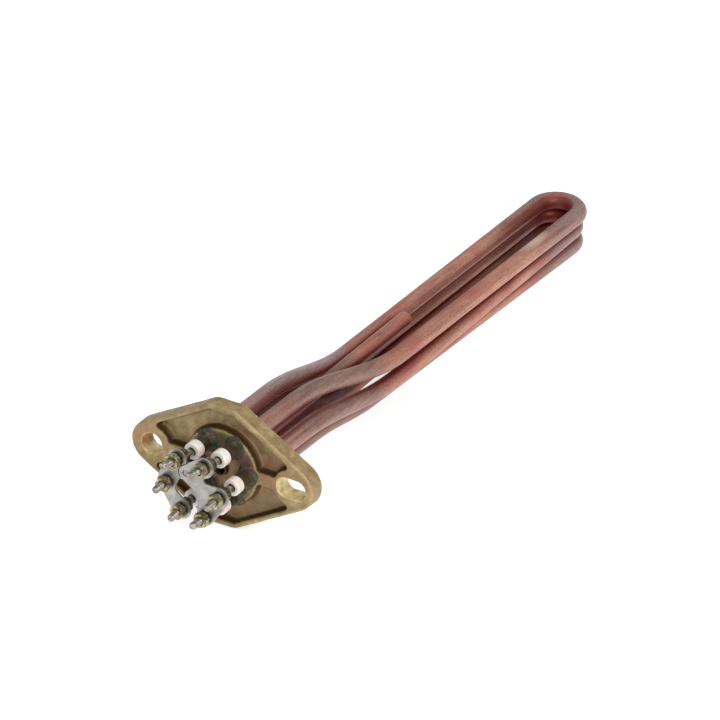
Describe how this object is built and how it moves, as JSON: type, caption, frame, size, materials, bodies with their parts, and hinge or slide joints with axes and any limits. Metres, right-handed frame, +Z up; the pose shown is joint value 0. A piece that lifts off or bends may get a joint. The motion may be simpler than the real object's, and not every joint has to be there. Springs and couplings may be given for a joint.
{
  "type": "heating element",
  "caption": "Immersion heating element: hairpin copper heating tubes and a thermostat well in a two-bolt brass flange, with ceramic beads and linked stud terminals.",
  "frame": {"origin": "centre of the flange's sealing face, on the axis of the thermostat well's hole", "axes": "+Y out of the sealing face, along the heating tubes into the boiler; X from lug to lug, the slotted lug at +X; +Z up, across the flange"},
  "size_m": [0.1036, 0.3479, 0.065],
  "materials": {
    "forged_brass": "pickled forging, tan and olive, matte",
    "copper": "pickled copper, pinkish brown, matte",
    "ceramic": "unglazed white ceramic",
    "steel": "threaded pins, dull nickel plate",
    "dark_steel": "oxidised washers",
    "nut_brass": "turned nuts, satin",
    "link_steel": "nickel plated sheet, satin"
  },
  "bodies": {
    "root": {"flange": "forged_brass", "heating_tube_top": "copper", "heating_tube_middle": "copper", "heating_tube_bottom": "copper", "thermostat_well": "copper", "ceramic_bead_1": "ceramic", "ceramic_bead_2": "ceramic", "ceramic_bead_3": "ceramic", "ceramic_bead_4": "ceramic", "ceramic_bead_5": "ceramic", "ceramic_bead_6": "ceramic", "terminal_pin_1": "steel", "terminal_pin_2": "steel", "terminal_pin_3": "steel", "terminal_pin_4": "steel", "terminal_pin_5": "steel", "terminal_pin_6": "steel", "inner_nut_1": "nut_brass", "inner_nut_2": "nut_brass", "inner_nut_3": "nut_brass", "inner_nut_4": "nut_brass", "inner_nut_5": "nut_brass", "inner_nut_6": "nut_brass", "flat_washer_1": "dark_steel", "flat_washer_2": "dark_steel", "flat_washer_3": "dark_steel", "flat_washer_4": "dark_steel", "flat_washer_5": "dark_steel", "flat_washer_6": "dark_steel", "spring_washer_1": "dark_steel", "spring_washer_2": "dark_steel", "spring_washer_3": "dark_steel", "spring_washer_4": "dark_steel", "spring_washer_5": "dark_steel", "spring_washer_6": "dark_steel", "outer_nut_1": "nut_brass", "outer_nut_2": "nut_brass", "outer_nut_3": "nut_brass", "outer_nut_4": "nut_brass", "outer_nut_5": "nut_brass", "outer_nut_6": "nut_brass", "link_plate_left": "link_steel", "link_plate_right": "link_steel"}
  },
  "joints": []
}
